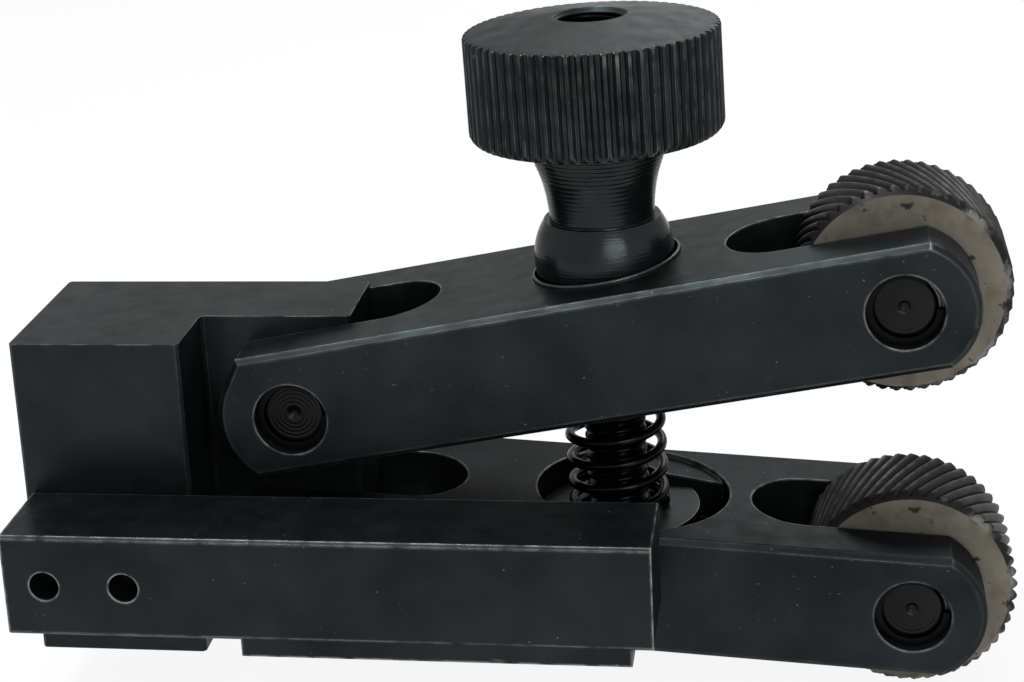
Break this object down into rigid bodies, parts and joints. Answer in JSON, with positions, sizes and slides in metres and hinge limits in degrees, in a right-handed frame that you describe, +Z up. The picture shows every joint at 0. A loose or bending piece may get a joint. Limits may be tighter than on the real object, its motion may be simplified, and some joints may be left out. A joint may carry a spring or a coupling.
{
  "type": "knurling tool",
  "caption": "Clamp-type knurling tool: two hinged arms carry knurl wheels and a screw knob squeezes them together from a square shank.",
  "frame": {"origin": "middle of the flat seat under the shank bar", "axes": "+X along the shank towards the knurl wheels, +Y from the shank's front face towards the back, +Z up towards the knob"},
  "size_m": [0.0939, 0.0352, 0.0654],
  "materials": {
    "black_steel": "black oxide, satin, worn bright at the edges",
    "dark_spring": "oil-blacked spring steel, glossy",
    "wheel_steel": "hardened tool steel, ground sides with oil stains",
    "pin_steel": "ground steel, darkened",
    "screw_steel": "black oxide"
  },
  "bodies": {
    "holder": {"head_block": "black_steel", "shank_bar": "black_steel", "shank_screws": "screw_steel"},
    "upper_jaw": {"upper_arm": "black_steel", "upper_pivot_pin": "pin_steel", "upper_pivot_rings": "dark_spring", "upper_axle_pin": "pin_steel", "upper_axle_rings": "dark_spring", "cup_washer": "black_steel"},
    "lower_jaw": {"lower_arm": "black_steel", "lower_pivot_pin": "pin_steel", "lower_pivot_rings": "dark_spring", "lower_axle_pin": "pin_steel", "lower_axle_rings": "dark_spring"},
    "upper_wheel": {"upper_knurl_wheel": "wheel_steel"},
    "lower_wheel": {"lower_knurl_wheel": "wheel_steel"},
    "swivel": {"swivel_nut": "pin_steel", "clamp_spring": "dark_spring"},
    "screw": {"clamp_stud": "dark_spring"},
    "knob": {"clamp_knob": "black_steel"}
  },
  "joints": [
    {"name": "upper_arm_swing", "type": "hinge", "parent": "holder", "child": "upper_jaw", "pos_m": [-0.0147, 0.0182, 0.01865], "axis": [0, 1, 0], "range_deg": [-1.95, 4.45]},
    {"name": "lower_arm_swing", "type": "hinge", "parent": "holder", "child": "lower_jaw", "pos_m": [-0.0147, 0.0182, 0.00395], "axis": [0, -1, 0], "range_deg": [-1.95, 4.45]},
    {"name": "upper_wheel_spin", "type": "hinge", "parent": "upper_jaw", "child": "upper_wheel", "pos_m": [0.04218, 0.0182, 0.02949], "axis": [0, 1, 0], "continuous": true},
    {"name": "lower_wheel_spin", "type": "hinge", "parent": "lower_jaw", "child": "lower_wheel", "pos_m": [0.04304, 0.0182, -0.00038], "axis": [0, 1, 0], "continuous": true},
    {"name": "nut_tilt", "type": "hinge", "parent": "lower_jaw", "child": "swivel", "pos_m": [0.01535, 0.0182, 0.00216], "axis": [0, 1, 0], "range_deg": [-2.7, 6.1]},
    {"name": "screw_travel", "type": "slide", "parent": "swivel", "child": "screw", "axis": [0.0262, 0, -0.9997], "range_m": [-0.00202, 0.00465], "deforming": ["clamp_spring"]},
    {"name": "knob_turn", "type": "hinge", "parent": "screw", "child": "knob", "pos_m": [0.01457, 0.0182, 0.03169], "axis": [0.0262, 0, -0.9997], "range_deg": [-720, 1656]}
  ],
  "couplings": [
    {"joint": "upper_arm_swing", "follows": "knob_turn", "ratio": 0.0026585},
    {"joint": "lower_arm_swing", "follows": "knob_turn", "ratio": 0.0026585},
    {"joint": "nut_tilt", "follows": "knob_turn", "ratio": 0.0036458},
    {"joint": "screw_travel", "follows": "knob_turn", "m_per_rad": 0.00015915}
  ]
}
